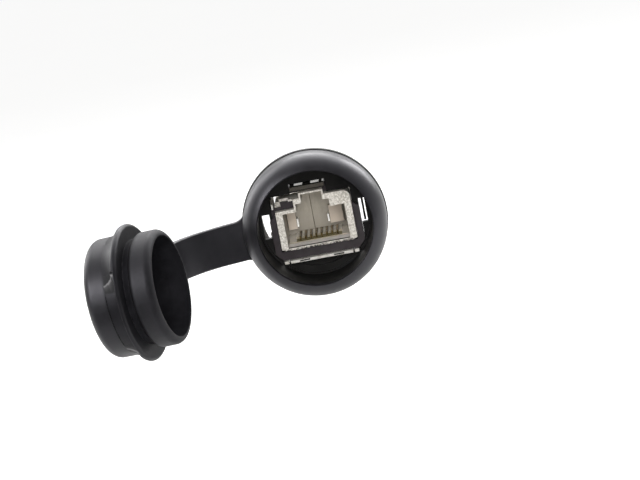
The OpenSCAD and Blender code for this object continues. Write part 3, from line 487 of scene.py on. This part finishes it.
# Bezel ring: moulded in soft black rubber together with the strap and the cap, with a satin touch.
# It is stretched over the collar of the housing and holds the cap's strap.
# Its inner lip is duller on the strap's side.
soft_colour = (0.0085, 0.0083, 0.0096)
soft_shine = (0.94, 0.92, 1.0)
ring_shine, lip_shine = 0.5, 0.5
lip_worn_x, lip_fresh_x = -10 * MM, -3 * MM
lip_inner_r, lip_outer_r = 11.3 * MM, 12.4 * MM
soft_black = moulding("soft_black", soft_colour, gloss=(0.37, 0.45), grain_mm=0.11,
                      depth_mm=0.005, edge_mm=0.2, cloud_mm=3.0, shine=soft_shine)
dress(["bezel_ring"], soft_black)
dull_bore(soft_black, ring_shine)
soft_tree = soft_black.node_tree
lip_across = axis_of(soft_tree, place_in(soft_tree), "X")
lip_side = spread(soft_tree, lip_across, lip_shine, 1.0, lip_worn_x, lip_fresh_x)
lip_out = spread(soft_tree, from_axis(soft_tree), 0.0, 1.0, lip_inner_r, lip_outer_r)
lip_worn = combine(soft_tree, "MAXIMUM", lip_side, lip_out)
soft_shine_in = shader_of(soft_black).inputs["Specular IOR Level"]
soft_tree.links.new(both(soft_tree, soft_shine_in.links[0].from_socket, lip_worn), soft_shine_in)

# Strap: a flat ribbon of the same soft moulding, drawn in two halves where the cap hangs open.
# It grows out of the ring's side and out of the cap's flange with rounded fillets,
# in one piece with both.
strap_w, strap_t = 7.4 * MM, 1.45 * MM
strap_skin = 0.02 * MM
root_edge_r, middle_edge_r, edge_run = 0.12 * MM, 0.36 * MM, 6
strap_turn = math.radians(4.3)
strap_lead = 7.2 * MM
root_steps, run_steps, run_look = 14, 40, 0.004
ring_r, ring_reach = 13.45 * MM, 2.5 * MM
cap_r, cap_reach = 12.0 * MM, 1.95 * MM
ring_fillets, cap_fillets = (2.4 * MM, 1.4 * MM), (1.4 * MM, 1.4 * MM)
cap_facing_y = -15.686 * MM
strap_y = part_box("bezel_ring")[1].y - strap_t / 2
swing = {joint["name"]: joint for joint in frame["joints"]}["cap_swing"]
hinge_at = Vector(swing["pos_m"])
open_turn = Quaternion(Vector(swing["axis"]), -math.radians(swing["range_deg"][1]))
turn_down = Quaternion(Vector((0, 1, 0)), -strap_turn)
outward, upward = turn_down @ Vector((-1, 0, 0)), turn_down @ Vector((0, 0, 1))


def opened(point):
    """Moves a point of the cap from its place facing the ring to its open place."""
    return hinge_at + open_turn @ (point - hinge_at)


ring_root = (Vector((0, strap_y, 0)), outward, upward)
cap_middle = opened(Vector((0, cap_facing_y - strap_t / 2, 0)))
cap_root = (cap_middle, open_turn @ outward, open_turn @ upward)
strap_start = ring_root[0] + ring_root[1] * (ring_r + ring_reach)
strap_end = cap_root[0] + cap_root[1] * (cap_r + cap_reach)


def strap_point(t):
    """Point at a share of the strap's middle line, from the ring to the cap."""
    legs = (strap_start, strap_start + strap_lead * ring_root[1],
            strap_end + strap_lead * cap_root[1], strap_end)
    shares = ((1 - t) ** 3, 3 * t * (1 - t) ** 2, 3 * t * t * (1 - t), t ** 3)
    return sum((leg * share for leg, share in zip(legs, shares)), Vector())


def strap_section(centre, ahead, wide, above, below, edge_r, steps=5):
    """Rounded outline of the strap across its run, reaching above and below its middle line."""
    wide = (wide - ahead * wide.dot(ahead)).normalized()
    thick = ahead.cross(wide)
    half_t = strap_t / 2 + strap_skin
    outline = []
    for quarter, (side, face) in enumerate(((1, 1), (-1, 1), (-1, -1), (1, -1))):
        reach = above if side > 0 else below
        for k in range(steps + 1):
            angle = math.pi / 2 * (quarter + k / steps)
            across = side * (reach + strap_skin - edge_r) + edge_r * math.cos(angle)
            up = face * (half_t - edge_r) + edge_r * math.sin(angle)
            outline.append(centre + wide * across + thick * up)
    return outline


def root_sections(root, ahead, rim_r, fillets, reach):
    """Sections from inside a round rim out to the plain strap, widened by a fillet on each side."""
    middle, out, wide = root
    centres = [math.sqrt((rim_r + f) ** 2 - (strap_w / 2 + f) ** 2) for f in fillets]
    starts = [c * rim_r / (rim_r + f) for c, f in zip(centres, fillets)]
    first = min(starts)
    sections = []
    for i in range(root_steps + 1):
        out_by = first + (rim_r + reach - first) * i / (root_steps + 1)
        halves = []
        for fillet, centre, start in zip(fillets, centres, starts):
            short = max(0.0, min(centre - out_by, centre - start))
            halves.append(strap_w / 2 + fillet - math.sqrt(fillet ** 2 - short ** 2))
        sections.append(strap_section(middle + out * out_by, ahead, wide, *halves, root_edge_r))
    return sections


def strap_run(first, last):
    """Sections along the free length of the strap between two shares of its curve."""
    half_w = strap_w / 2
    sections = []
    for i in range(run_steps + 1):
        t = first + (last - first) * i / run_steps
        before, after = strap_point(max(t - run_look, 0.0)), strap_point(min(t + run_look, 1.0))
        ahead = (after - before).normalized()
        wide = ring_root[2].lerp(cap_root[2], t)
        full = min(1.0, edge_run * t, edge_run * (1 - t))
        edge_r = root_edge_r + (middle_edge_r - root_edge_r) * full
        sections.append(strap_section(strap_point(t), ahead, wide, half_w, half_w, edge_r))
    return sections


ring_side = root_sections(ring_root, ring_root[1], ring_r, ring_fillets, ring_reach)
cap_side = root_sections(cap_root, -cap_root[1], cap_r, cap_fillets, cap_reach)
ring_half, cap_half = ring_side + strap_run(0.0, 0.5), strap_run(0.5, 1.0) + cap_side[::-1]
strap_halves = {
    "strap_ring_half": (ring_half, (True, False), "connector", "strap", 0.05, 0.45),
    "strap_cap_half": (cap_half, (False, True), "strap", "cap", 0.55, 0.95),
}
for name, (sections, ends, body, next_body, bend_from, bend_to) in strap_halves.items():
    half = new_piece(name, *swept(sections, *ends), soft_black, smooth_angle=50)
    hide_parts("cap_strap")
    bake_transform(half)

# Cap: head, flange, bead and hollow plug of the same soft moulding, its edges rubbed a little grey.
# The pry notch in its flange is torn at both ends and creased where it meets the head, the crease
# coloured near black as painted shade.
# It hangs open on the strap, and is pressed into the ring's mouth, where the bead seals.
cap_axis = open_turn @ turn_down @ Vector((0, 1, 0))
seal_middle = opened(Vector((0, cap_facing_y, 0)))
cap_from, cap_to = -8.0, 7.0
cap_zones = [  # mm behind the flange's sealing side, shine and least roughness there
    (-3.6, 0.3, 0.0), (-3.2, 0.17, 0.0), (-1.3, 0.17, 0.0), (-0.9, 0.27, 0.0), (-0.2, 0.27, 0.0),
    (0.0, 0.1, 0.62), (0.9, 0.1, 0.62), (1.4, 0.26, 0.54), (4.6, 0.26, 0.54), (5.4, 0.2, 0.6)]
hollow_r, hollow_edge, hollow_shine = 9.1 * MM, 0.05 * MM, 0.1
rubbed_grey = (0.034, 0.033, 0.036)


def cap_finish(finish):
    """Sets the shine of the cap along its axis: satin head, dull flare, matt seal and mouth."""
    tree = finish.node_tree
    shader = shader_of(finish)
    from_middle = vectors(tree, "SUBTRACT", place_in(tree), seal_middle, "Vector")
    along = vectors(tree, "DOT_PRODUCT", from_middle, cap_axis)
    around = vectors(tree, "CROSS_PRODUCT", from_middle, cap_axis, "Vector")
    dull = spread(tree, vectors(tree, "LENGTH", around), hollow_shine, 1.0,
                  start=hollow_r - hollow_edge, end=hollow_r)
    at = spread(tree, along, 0.0, 1.0, start=cap_from * MM, end=cap_to * MM)
    places = [(zone[0] - cap_from) / (cap_to - cap_from) for zone in cap_zones]
    shines = tint(tree, at, [(t, (zone[1],) * 3) for t, zone in zip(places, cap_zones)])
    tree.links.new(both(tree, shines, dull), shader.inputs["Specular IOR Level"])
    matts = tint(tree, at, [(t, (zone[2],) * 3) for t, zone in zip(places, cap_zones)])
    gloss = shader.inputs["Roughness"].links[0].from_socket
    tree.links.new(combine(tree, "MAXIMUM", gloss, matts), shader.inputs["Roughness"])


def rub_edges(finish, colour, edge_mm, patch_mm):
    """Greys the outer edges of a finish in patches, where hands and tools rub it."""
    tree = finish.node_tree
    turn = vectors(tree, "DOT_PRODUCT", rounded_edges(tree, edge_mm), facing_of(tree))
    edges = spread(tree, turn, 1.0, 0.0, start=0.82, end=0.99)
    patches = speckle(tree, place_in(tree), patch_mm, detail=4.0, rough=0.7)
    paint(finish, colour, both(tree, edges, spread(tree, patches, 0.0, 1.0, start=0.42, end=0.62)))


cap_black = moulding("cap_black", soft_colour, gloss=(0.38, 0.5), grain_mm=0.16, depth_mm=0.009,
                     edge_mm=0.16, cloud_mm=3.0, cloud=0.3, shine=soft_shine)
cap_finish(cap_black)
rub_edges(cap_black, rubbed_grey, edge_mm=0.3, patch_mm=0.9)
dress(["sealing_cap"], cap_black)

head_r, brim_r, rim_t = 10.7 * MM, 12.3 * MM, 1.3 * MM
brim_reach = brim_r - 0.35 * rim_t - head_r
flare_l, flare_r = 2.1 * MM, 4.0 * MM
flare_w = brim_r - rim_t / 2 - head_r
flare_chord = math.hypot(flare_w, flare_l)
flare_out = math.sqrt(flare_r ** 2 - flare_chord ** 2 / 4) / flare_chord
flare_centre_r = head_r + flare_w / 2 + flare_out * flare_l
flare_centre_y = -rim_t - flare_l / 2 - flare_out * flare_w
notch_lip, notch_land = 0.65 * MM, 0.06 * MM
notch_ends = {"notch_tear_upper": (-33.0, 17.0), "notch_tear_lower": (55.0, -15.0)}
tear_rows, tear_steps, tear_skin, tear_late = 12, 16, 0.03 * MM, 0.5
torn_shine, tear_smooth = 0.18, 70
torn_stops = [(0.02, times(soft_colour, 1.2)), (0.1, (0.2, 0.195, 0.2)),
              (0.3, (0.05, 0.049, 0.051)), (1.0, (0.012, 0.012, 0.013))]
torn_black = moulding("torn_black", soft_colour, gloss=(0.5, 0.7), grain_mm=0.16, depth_mm=0.04,
                      edge_mm=0.06, cloud_mm=0.7, cloud=0.5)
torn_tree, torn_shader = torn_black.node_tree, shader_of(torn_black)
torn_shader.inputs["Specular IOR Level"].default_value = torn_shine
torn_depth = torn_tree.nodes.new("ShaderNodeAttribute")
torn_depth.attribute_name = "torn"
torn_tree.links.new(tint(torn_tree, torn_depth.outputs["Fac"], torn_stops),
                    torn_shader.inputs["Base Color"])


def on_cap(r, y, angle):
    """Point of the open cap at a radius, a distance behind its sealing side and an angle."""
    point = turn_down @ Vector((r * math.cos(angle), y, -r * math.sin(angle)))
    return opened(point + Vector((0, cap_facing_y, 0)))


def flare_section(share):
    """Radius and depth on the full flange, from the head's side to the brim."""
    r = head_r + notch_land + brim_reach * share
    if r < brim_r - rim_t / 2:
        return r, flare_centre_y + math.sqrt(flare_r ** 2 - (flare_centre_r - r) ** 2)
    return r, -rim_t / 2 - math.sqrt((rim_t / 2) ** 2 - (r - brim_r + rim_t / 2) ** 2)


def notch_section(share):
    """Radius and depth on the notch's wall and floor, from the head's side to the brim."""
    wall = flare_section(0)[1] + notch_lip
    corner = -wall / (-wall + brim_r - head_r)
    if share < corner:
        return head_r + notch_land, flare_section(0)[1] - wall * share / corner
    return flare_section((share - corner) / (1 - corner))[0], -notch_lip


def ragged(i, k):
    """Uneven run of the tear, the same on every run of the script."""
    return 0.5 + 0.3 * math.sin(2.1 * k + 0.7 * i) + 0.2 * math.sin(5.3 * k - 1.3 * i)


for name, (end_angle, reach) in notch_ends.items():
    sections, torn = [], []
    for i in range(tear_steps + 1):
        outer, inner, drops = [], [], []
        for k in range(tear_rows + 1):
            share = k / tear_rows
            late = tear_late * (1 - share)
            run = max(0.0, i / tear_steps - late) / (1 - late) * (0.9 + 0.5 * ragged(3, k))
            run = min(1.0, run)
            drop = run * run * (3 - 2 * run)
            angle = math.radians(end_angle + reach * i / tear_steps)
            full, low = flare_section(share), notch_section(share)
            r, y = (f + (l - f) * drop for f, l in zip(full, low))
            lift = tear_skin * (0.6 + ragged(i, k)) * (0.0 < drop < 1.0)
            outer.append(on_cap(r + lift, y - lift, angle))
            inner.append(on_cap(low[0] - tear_skin, low[1] + tear_skin, angle))
            drops.append(drop)
        sections.append(outer + inner[::-1])
        torn += drops + drops[::-1]
    tear = new_piece(name, *swept(sections), torn_black, tear_smooth)
    tear.data.attributes.new("torn", "FLOAT", "POINT").data.foreach_set("value", torn)
    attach(tear, "cap")

# The crease is a thin raised strip, coloured near black and without shine, as painted shade in the
# crease.
crease_from, crease_to, crease_steps, crease_fade = -17, 42, 118, 8
crease_half, crease_stray, crease_rise = 0.09 * MM, 0.1 * MM, 0.03 * MM
crease_shade_colour, crease_shine = (0.003, 0.003, 0.003), 0.04
crease_shade_black = moulding("crease_shade_black", crease_shade_colour, gloss=(0.8, 0.95), grain_mm=0.1,
                        depth_mm=0.01, edge_mm=0.04, cloud_mm=0.6, cloud=0.5)
shader_of(crease_shade_black).inputs["Specular IOR Level"].default_value = crease_shine
crease_sections = []
for i in range(crease_steps + 1):
    angle = math.radians(crease_from + (crease_to - crease_from) * i / crease_steps)
    middle = flare_section(0)[1] + crease_stray * (ragged(0.6 * i, 0.31 * i) - 0.5)
    fade = min(1.0, i / crease_fade, (crease_steps - i) / crease_fade)
    half = crease_half * (0.35 + ragged(0.9 * i, 0.17 * i)) * fade
    outline = [(middle - half, -crease_rise), (middle - 0.6 * half, crease_rise),
               (middle + 0.6 * half, crease_rise), (middle + half, -crease_rise)]
    crease_sections.append([on_cap(head_r + notch_land + up, y, angle) for y, up in outline])
crease = new_piece("notch_crease", *swept(crease_sections), crease_shade_black, tear_smooth)
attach(crease, "cap")

# Floor: one long pale sheet, far enough below the connector to keep its shadow out of the picture.
# It runs back until it fills the picture, and is white to the camera. In reflections it glows, dim
# under the connector as a painted shadow and full at the sides as a painted glow.
floor_z = -70 * MM
floor_front, floor_back, floor_half = -0.1, 3.2, 1.8
sheet_colour = (0.86, 0.86, 0.85)
floor_white, floor_shadow_glow, floor_side_glow = 0.62, 0.1, 1.0
glow_from_x, glow_to_x = 0.02, 0.12
floor_points = [(side * floor_half, y, floor_z) for y in (floor_front, floor_back)
                for side in (-1, 1)]
floor_finish, floor_tree, floor_shader, floor_place = start_finish("studio_floor")
floor_clouds = speckle(floor_tree, floor_place, size_mm=60.0)
floor_stops = [(0.3, times(sheet_colour, 0.985)), (0.7, sheet_colour)]
floor_tree.links.new(tint(floor_tree, floor_clouds, floor_stops), floor_shader.inputs["Base Color"])
floor_shader.inputs["Roughness"].default_value = 0.9
floor_shader.inputs["Specular IOR Level"].default_value = 0.0
floor_shader.inputs["Emission Color"].default_value = (1, 1, 1, 1)


def seen(tree, lit, mirrored, white):
    """One level for light that falls on things, one for reflections and one for the camera."""
    path = tree.nodes.new("ShaderNodeLightPath")
    mirror = combine(tree, "MAXIMUM", path.outputs["Is Glossy Ray"],
                     path.outputs["Is Transmission Ray"])
    in_mirror = spread(tree, mirror, lit, mirrored, start=0.0, end=1.0)
    in_camera = spread(tree, path.outputs["Is Camera Ray"], 0.0, white, start=0.0, end=1.0)
    return in_mirror, in_camera


# Glow seen only in reflections: low under the connector as a painted shadow, full beyond it as a
# painted glow.
floor_around, floor_behind = seen(floor_tree, 0.0, floor_side_glow, floor_white)
floor_sides = combine(floor_tree, "ABSOLUTE", axis_of(floor_tree, place_in(floor_tree), "X"))
floor_share = spread(floor_tree, floor_sides, floor_shadow_glow / floor_side_glow, 1.0,
                     start=glow_from_x, end=glow_to_x)
floor_glow = both(floor_tree, floor_around, floor_share)
floor_tree.links.new(combine(floor_tree, "MAXIMUM", floor_glow, floor_behind),
                     floor_shader.inputs["Emission Strength"])
floor = new_piece("studio_floor", floor_points, [(0, 1, 3, 2)], floor_finish, smooth_angle=80)

# Light: a white tent, dark on the camera's side, and soft lamps at the top, behind and at the left.
# Lamps that only make highlights are kept off pale surfaces. A fill lamp beside the camera, kept
# out of reflections, reaches into the socket. Colours come out about as written.
tent_light = 0.5
tent_front, tent_under = 0.10, 0.75
under_way = (0.6, 0.0, 0.8)
world = bpy.data.worlds.new("white_tent")
bpy.context.scene.world = world
world.use_nodes = True
tent_tree = world.node_tree
tent = tent_tree.nodes["Background"]
tent.inputs["Color"].default_value = (1, 1, 1, 1)
tent_place = tent_tree.nodes.new("ShaderNodeTexCoord").outputs["Generated"]
tent_ahead = spread(tent_tree, axis_of(tent_tree, tent_place, "Y"), tent_front, 1.0,
                    start=-0.75, end=-0.05)
tent_low = spread(tent_tree, vectors(tent_tree, "DOT_PRODUCT", tent_place, under_way),
                  tent_under, 1.0, start=-0.7, end=0.0)
tent_shade = both(tent_tree, tent_ahead, tent_low)
tent_around, tent_behind = seen(tent_tree, tent_light, 1.0, 1.0)
tent_level = combine(tent_tree, "MAXIMUM", both(tent_tree, tent_around, tent_shade), tent_behind)
tent_tree.links.new(tent_level, tent.inputs["Strength"])


def soft_lamp(name, place, aim, size, power, in_reflections=True, on_pale=True):
    lamp = bpy.data.lights.new(name, "AREA")
    lamp.shape = "RECTANGLE"
    lamp.size, lamp.size_y = size
    lamp.energy = power
    holder = bpy.data.objects.new(name, lamp)
    holder.location = place
    holder.rotation_euler = (Vector(aim) - Vector(place)).to_track_quat("-Z", "Y").to_euler()
    holder.visible_glossy, holder.visible_diffuse = in_reflections, on_pale
    bpy.context.scene.collection.objects.link(holder)


soft_lamp("top_lamp", place=(0.14, 0.3, 0.45), aim=(0.14, 0, 0), size=(0.68, 0.35), power=2.5)
soft_lamp("rim_left", place=(-0.42, 0.34, 0.33), aim=(0, 0, 0), size=(0.3, 0.6), power=2.6,
          on_pale=False)
soft_lamp("rim_right", place=(0.38, 0.44, 0.27), aim=(0, 0, 0), size=(0.28, 0.3), power=2.2,
          on_pale=False)
soft_lamp("back_strip", place=(0.03, 0.62, 0.41), aim=(0, 0, 0), size=(0.34, 0.12), power=1.5,
          on_pale=False)
soft_lamp("left_lamp", place=(-0.42, -0.38, 0.25), aim=(-0.03, 0, 0), size=(0.26, 0.24), power=4.0,
          on_pale=False)
soft_lamp("fill_lamp", place=(0.03, -0.48, 0.13), aim=(0, 0, 0), size=(0.16, 0.34), power=2.9,
          in_reflections=False)

# Camera: a long lens a little right of the axis and above it, rolled as the object is tilted in the
# picture. The shift only centres the picture on the object as the photograph frames it.
picture_w, sensor_w = 640, 36
camera_turn, camera_rise, camera_roll = math.radians(2), math.radians(10), math.radians(10.8)
camera_distance = 400 * MM
lens_px = 2130.6
origin_right, origin_up = -4.76, 21.0
towards = Vector((math.sin(camera_turn) * math.cos(camera_rise),
                  -math.cos(camera_turn) * math.cos(camera_rise), math.sin(camera_rise)))
level = Vector((math.cos(camera_turn), math.sin(camera_turn), 0))
upright = towards.cross(level)
camera_x = level * math.cos(camera_roll) - upright * math.sin(camera_roll)
camera_y = level * math.sin(camera_roll) + upright * math.cos(camera_roll)
camera = bpy.data.cameras.new("camera")
camera.sensor_width = sensor_w
camera.lens = lens_px / picture_w * sensor_w
camera.shift_x, camera.shift_y = -origin_right / picture_w, -origin_up / picture_w
camera_stand = bpy.data.objects.new("camera", camera)
camera_stand.matrix_world = Matrix.Translation(towards * camera_distance) @ Matrix(
    (camera_x, camera_y, towards)).transposed().to_4x4()
bpy.context.scene.collection.objects.link(camera_stand)
bpy.context.scene.camera = camera_stand
bpy.context.scene.view_settings.view_transform = "Standard"
